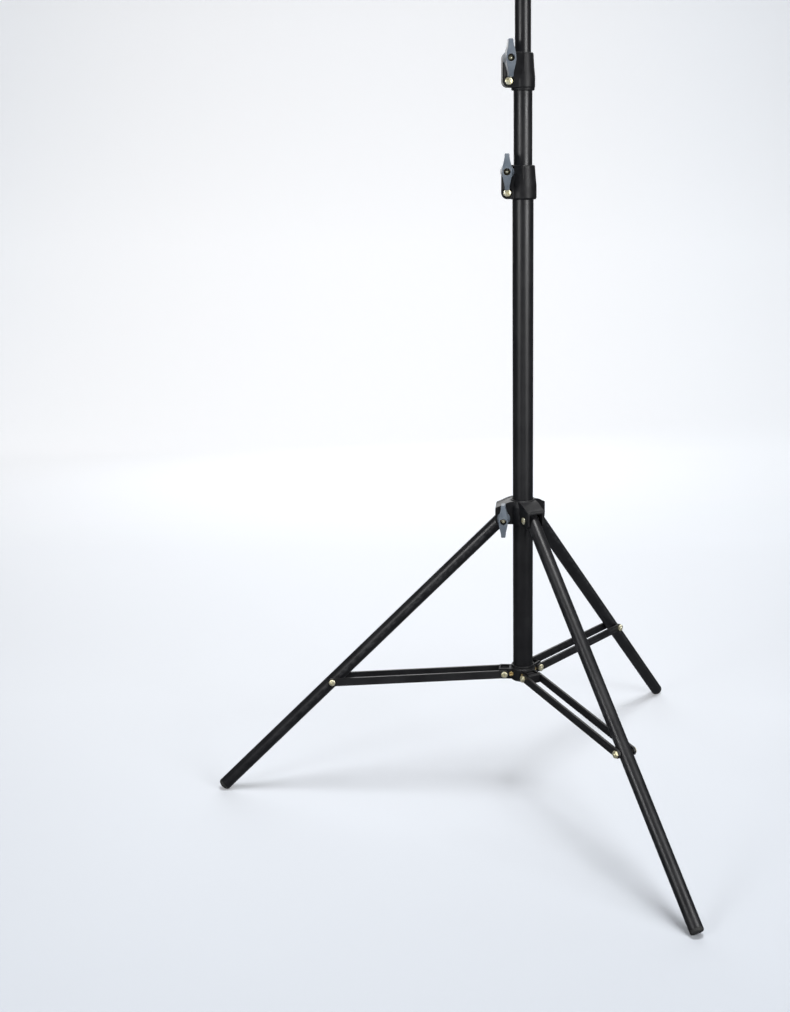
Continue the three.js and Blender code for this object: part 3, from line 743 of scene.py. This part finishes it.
def scatter_tree():
    """Sets a template on every point, along the point's axis and at its scale, with a seeded spin."""
    tree = group_tree(
        "template_on_points",
        [("Geometry", "NodeSocketGeometry", None), ("Template", "NodeSocketObject", None),
         ("Spin", "NodeSocketFloat", 2 * pi), ("Seed", "NodeSocketInt", 1),
         ("Material", "NodeSocketMaterial", None)],
        [("Geometry", "NodeSocketGeometry")], "GeometryNodeTree",
    )
    source = tree.nodes.new("NodeGroupInput").outputs
    sink = tree.nodes.new("NodeGroupOutput").inputs
    template = add_node(tree, "GeometryNodeObjectInfo", Object=source["Template"])
    axis = add_node(tree, "GeometryNodeInputNamedAttribute", {"data_type": "FLOAT_VECTOR"}, Name="axis")
    size = add_node(tree, "GeometryNodeInputNamedAttribute", {"data_type": "FLOAT_VECTOR"}, Name="size")
    aligned = add_node(tree, "FunctionNodeAlignRotationToVector", {"axis": "Z"},
                       Vector=axis.outputs["Attribute"])
    spin = add_node(tree, "FunctionNodeRandomValue", {"data_type": "FLOAT"}, Max=source["Spin"],
                    Seed=source["Seed"])
    about = add_node(tree, "FunctionNodeAxisAngleToRotation", Angle=next(o for o in spin.outputs if o.enabled))
    facing = add_node(tree, "FunctionNodeRotateRotation", {"rotation_space": "LOCAL"},
                      Rotation=aligned.outputs[0], Rotate_By=about.outputs[0])
    copies = add_node(tree, "GeometryNodeInstanceOnPoints", Points=source["Geometry"],
                      Instance=template.outputs["Geometry"], Rotation=facing.outputs[0],
                      Scale=size.outputs["Attribute"])
    real = add_node(tree, "GeometryNodeRealizeInstances", Geometry=copies.outputs[0])
    finished = add_node(tree, "GeometryNodeSetMaterial", Geometry=real.outputs[0], Material=source["Material"])
    tree.links.new(finished.outputs[0], sink["Geometry"])
    return tree


SCATTER = scatter_tree()


def scattered(template, places, material, seed=1):
    """One mesh of a template set on every (frame, place along Y, direction along Y, size)."""
    points = bpy.data.meshes.new("points")
    points.from_pydata([place @ Vector((0, y, 0)) for place, y, _, _ in places], [], [])
    axes = [place.to_3x3() @ Vector((0, way, 0)) for place, _, way, _ in places]
    for label, values in (("axis", axes), ("size", [size for *_, size in places])):
        layer = points.attributes.new(label, "FLOAT_VECTOR", "POINT")
        layer.data.foreach_set("vector", [v for value in values for v in value])
    holder, model = new_object("points", points), new_object("template", template)
    step = holder.modifiers.new("scatter", "NODES")
    step.node_group = SCATTER
    sockets = {s.name: s.identifier for s in SCATTER.interface.items_tree if s.in_out == "INPUT"}
    for label, value in (("Template", model), ("Spin", 2 * pi), ("Seed", seed), ("Material", material)):
        step[sockets[label]] = value
    return evaluated_mesh(holder, model)


PLAIN = (1, 1, 1)  # the size of a template as it is


def fasteners(name, seed, heads, nuts, shanks, nodes):
    """The screws and nuts of one body. A shank runs from one place to another along Y, its tail last."""
    zinc = MATERIALS["zinc_screw"]
    stems, tails = [], []
    for place, start, end in shanks:
        way = 1 if end > start else -1
        stems.append((place, start, way, (1, 1, abs(end - start) - TAIL)))
        tails.append((place, end - TAIL * way, way, PLAIN))
    mesh = joined([
        scattered(head_template(), heads, zinc, seed),
        scattered(hex_block(8 / 3 ** 0.5, 0, 2.9), nuts, zinc, seed + 1),
        scattered(rod(SHANK, 0, 1), stems, zinc),
        scattered(tail_template(), tails, zinc),
    ])
    piece(name, mesh, Matrix(), *nodes)


def all_fasteners():
    large, tall = (1.095, 1.095, 1), (1, 1, 1.138)  # the clamps' heads and nuts
    mast, middle = [clamp_frame(name, SCREW_DEPTH) for name in ("lower", "upper")]
    lugs = [turn(azimuth) @ shift(PIVOT_RADIUS, 0, LUG_HEIGHT) for azimuth in AZIMUTHS.values()]
    pivots = [turn(AZIMUTHS[name]) @ shift(PIVOT_RADIUS, 0, PIVOT_HEIGHT) for name in ("front", "rear")]
    fasteners("mast_fasteners", 3,
              [(mast, -CLAMP_SEAT, -1, large), *[(lug, BRACE_SEAT, 1, PLAIN) for lug in lugs]],
              [(mast, CLAMP_SEAT, 1, tall), *[(lug, -BRACE_SEAT, -1, PLAIN) for lug in lugs]],
              [(mast, -CLAMP_SEAT, 12), *[(lug, BRACE_SEAT, -15.6) for lug in lugs]],
              ["lower_clamp_screw", "lower_clamp_nut",
               *[f"{name}_brace_base_{kind}" for name in AZIMUTHS for kind in ("screw", "nut")]])
    fasteners("middle_fasteners", 11, [(middle, -CLAMP_SEAT, -1, large)], [(middle, CLAMP_SEAT, 1, tall)],
              [(middle, -CLAMP_SEAT, 12)], ["upper_clamp_screw", "upper_clamp_nut"])
    head, nut = COLLAR_SEATS
    fasteners("collar_fasteners", 17,
              [(pivot, head, -1, PLAIN) for pivot in pivots], [(pivot, nut, 1, PLAIN) for pivot in pivots],
              [(pivot, head, 15.4) for pivot in pivots],
              [f"{name}_leg_pivot_{kind}" for name in ("front", "rear") for kind in ("screw", "nut")])
    for seed, name in enumerate(AZIMUTHS):
        end = brace_frame(name) @ shift(BRACE_LENGTH)
        fasteners(f"{name}_brace_fasteners", 23 + 2 * seed, [(end, BRACE_SEAT, 1, PLAIN)],
                  [(end, -BRACE_SEAT, -1, PLAIN)], [(end, BRACE_SEAT, 9), (end, -9, -15.6)],
                  [f"{name}_brace_leg_screw", f"{name}_brace_leg_nut"])
    lip = [(1.5, 8.7), (3.2, 8.7), (3.2, 9.1), (2.6, 9.6), (1.3, 9.6), (0.9, 9.2), (0.9, 0)]
    eyelet = [(r, -y) for r, y in lip[::-1]] + lip
    lugs = [turn(azimuth) @ shift(RIVET_RADIUS, 0, LUG_HEIGHT) for azimuth in AZIMUTHS.values()]
    mesh = scattered(turned_mesh("eyelet", rounded(eyelet, 0.2), SMALL), [(lug, 0, 1, PLAIN) for lug in lugs],
                     MATERIALS["brass"], 31)
    piece("lug_eyelets", mesh, Matrix(), *[f"{name}_lug_rivet" for name in AZIMUTHS])


# ---- Legs and braces ----

BAR_HALF = 5.25  # half a brace bar's width
BAR_FACES = 9.0, 11.8  # the brace's middle plane to a bar's two faces


def leg(name):
    """A tube with a rounded upper end and two bolt holes, and its foot cap."""
    place = leg_frame(name)
    end = -LEG_LENGTH
    low = end + 5.1
    radius, inner, reach = LEG_RADIUS, LEG_RADIUS - 1, 12
    outline = [(inner, low + 5), (inner, low), (radius, low), (radius, 0), (radius, radius), (inner, radius),
               (inner, low + 5)]
    tube = turned_mesh("leg", rounded(outline, 0.15), 64)
    below = slab((-10, 10), (-10, 10), (low - 5, 0))
    crown = boolean(cross_rod(radius, -reach, reach, sides=FINE), "UNION", [below])
    tube = boolean(tube, "INTERSECT", [crown])
    holes = [cross_rod(BOLT_HOLE, -reach, reach, z=z) for z in (0, -LEG_TO_BRACE)]
    piece(f"{name}_leg", boolean(tube, "DIFFERENCE", holes), place, f"{name}_leg_tube")
    plug, plug_top = 7.2, end + 15
    cap = [(0, end + 0.6), (3.2, end + 0.6), (3.8, end), *arc((5.35, end + 3), 3, -90, 0, 10),
           (8.35, end + 4.8), (8.2, end + 5), (plug, end + 5), (plug, plug_top), (plug - 1, plug_top + 1),
           (0, plug_top + 1)]
    piece(f"{name}_foot", turned_mesh("foot", cap, 64), place, f"{name}_foot_cap")


def brace(name):
    """Two flat bars with rounded ends and eased edges."""
    place = brace_frame(name)
    half, near, far = BAR_HALF, *BAR_FACES
    outline = arc((0, 0), half, 90, 270, 16) + arc((BRACE_LENGTH, 0), half, -90, 90, 16)
    for label, low, high in (("a", near, far), ("b", -far, -near)):
        holes = [cross_rod(BOLT_HOLE, low - 1, high + 1, x) for x in (0, BRACE_LENGTH)]
        bar = new_object("bar", boolean(side_view(outline, low, high), "DIFFERENCE", holes))
        bevel = bar.modifiers.new("eased", "BEVEL")
        bevel.width, bevel.segments, bevel.limit_method = 0.4, 2, "ANGLE"
        piece(f"{name}_brace_bar_{label}", evaluated_mesh(bar), place, f"{name}_brace_strip_{label}")


for tube_name in TUBE_RADIUS:
    mast_tube(tube_name)
foot_plug()
spigot()
for clamp_name in CLAMPS:
    clamp(clamp_name)
knobs()
collar()
base_casting()
for leg_name in AZIMUTHS:
    leg(leg_name)
    brace(leg_name)
all_fasteners()


# ---- CAD nodes that stay, with a finish of their slot ----

for name, node in frame["nodes"].items():
    node.data.materials.clear()
    node.data.materials.append(MATERIALS[SLOTS[name]])


# ---- Stage, light and camera ----

GLOW_FROM, GLOW_TO = -0.6, 5.0  # metres along the sweep
SWEEP_GLOW = [(-0.49, 0.06), (0.3, 0.285), (1.1, 0.4), (1.5, 0.5), (2.05, 0.68), (3.6, 0.7),
              (4.2, 0.655), (4.7, 0.615)]  # metres along the sweep, and its glow there


def stage():
    """A pale seamless floor that curves up behind the stand, with a glow that fades to both sides."""
    start, bend = 2.2, 1.2
    curve = [(start + sin(a) * bend, bend - cos(a) * bend) for a in [radians(5 * k) for k in range(1, 19)]]
    profile = [(-3.0, 0.0), (start, 0.0), *curve, (start + bend, 4.5)]
    verts = [(x, y, z) for y, z in profile for x in (-6.0, 6.0)]
    faces = [[2 * i, 2 * i + 1, 2 * i + 3, 2 * i + 2] for i in range(len(profile) - 1)]
    mesh = bpy.data.meshes.new("floor")
    mesh.from_pydata(verts, [], faces)
    mesh.shade_smooth()
    floor = new_object("floor", mesh)
    material, tree, shader = new_material("paper_sweep")
    place = add_node(tree, "ShaderNodeSeparateXYZ", Vector=object_place(tree)).outputs
    along = math_node(tree, "ADD", place["Y"], place["Z"])
    aside = math_node(tree, "ADD", place["X"], ramp_between(tree, along, 0.2, 1.5, 0.4, 0.72))
    aside = math_node(tree, "MULTIPLY", aside, aside)
    ramp = tree.nodes.new("ShaderNodeValToRGB")
    tree.links.new(ramp_between(tree, along, GLOW_FROM, GLOW_TO, ease="LINEAR"), ramp.inputs["Fac"])
    for distance, glow in SWEEP_GLOW:
        stop = ramp.color_ramp.elements.new((distance - GLOW_FROM) / (GLOW_TO - GLOW_FROM))
        stop.color = (glow, glow, glow, 1)
    for _ in range(2):  # a new ramp comes with a black and a white stop
        spare = next(e for e in ramp.color_ramp.elements if e.color[0] in (0.0, 1.0))
        ramp.color_ramp.elements.remove(spare)
    fall = math_node(tree, "MULTIPLY", aside, ramp_between(tree, along, 0.3, 1.3, 0.135, 0.045))
    tree.links.new(math_node(tree, "SUBTRACT", ramp.outputs["Color"], fall), shader.inputs["Emission Strength"])
    edge = ramp_between(tree, aside, 0.0, 2.0)
    tree.links.new(blended(tree, edge, (1.0, 0.99, 0.985), (0.985, 1.0, 1.02)), shader.inputs["Emission Color"])
    shader.inputs["Base Color"].default_value = (0.54, 0.57, 0.615, 1)
    shader.inputs["Roughness"].default_value = 0.9
    shader.inputs["Specular IOR Level"].default_value = 0.0
    mesh.materials.append(material)
    floor.visible_glossy = False


def area_light(name, width, height, energy, place):
    """A soft light, unseen by the camera, that points straight down until it is turned."""
    light = bpy.data.lights.new(name, "AREA")
    light.shape, light.size, light.size_y, light.energy = "RECTANGLE", width, height, energy
    made = new_object(name, light)
    made.location = place
    made.visible_camera = False
    return made


def softbox(name, azimuth, distance, width, heights, radiance):
    """Faces the mast. The azimuth is from the camera's side, positive to the right."""
    tall, middle, a = heights[1] - heights[0], sum(heights) / 2, radians(azimuth)
    place = Vector((sin(a) * distance, -cos(a) * distance, middle))
    made = area_light(name, width, tall, radiance * width * tall, place)
    made.rotation_euler = (Vector((0, 0, middle)) - place).to_track_quat("-Z", "Y").to_euler()


def lights():
    """Strip lights on both sides, brightest at head height, with one in front, two behind and one overhead."""
    bands = ((1.2, 2.2), (0.85, 1.2), (0.35, 0.85), (-0.1, 0.35))
    sides = (("key", 47, 0.9, (7, 52, 7, 4.5)), ("fill", -39, 0.6, (1.5, 48, 6, 4)))
    for name, azimuth, width, levels in sides:
        for label, heights, radiance in zip("abcd", bands, levels):
            softbox(f"{name}_{label}", azimuth, 1.95, width, heights, radiance)
    softbox("front", 4, 2.2, 0.9, (-0.1, 0.35), 4)
    softbox("rim", 195, 2.2, 1.2, (0.5, 1.25), 7.5)
    softbox("rear", 180, 2.0, 2.6, (1.0, 3.2), 4)
    area_light("overhead", 0.95, 0.95, 60, (0.2, -0.46, 2.9))
    world = bpy.data.worlds.new("studio")
    world.use_nodes = True
    world.node_tree.nodes["Background"].inputs["Color"].default_value = (0.9, 0.94, 1.0, 1)
    world.node_tree.nodes["Background"].inputs["Strength"].default_value = 0.08
    bpy.context.scene.world = world


def camera():
    """Stands 1.72 m in front of the mast at 0.86 m, looking down, with the mast right of the middle."""
    data = bpy.data.cameras.new("camera")
    data.lens, data.sensor_width = 50.32, 36
    data.shift_x, data.shift_y = -0.1264, 0.0299
    data.clip_end = 50
    made = new_object("camera", data)
    made.matrix_world = turn(1.5) @ shift(0, -1.72433, 0.8575) @ turn(90 - 16.21, "X")
    bpy.context.scene.camera = made


stage()
lights()
camera()
bpy.context.scene.view_settings.view_transform = "Standard"
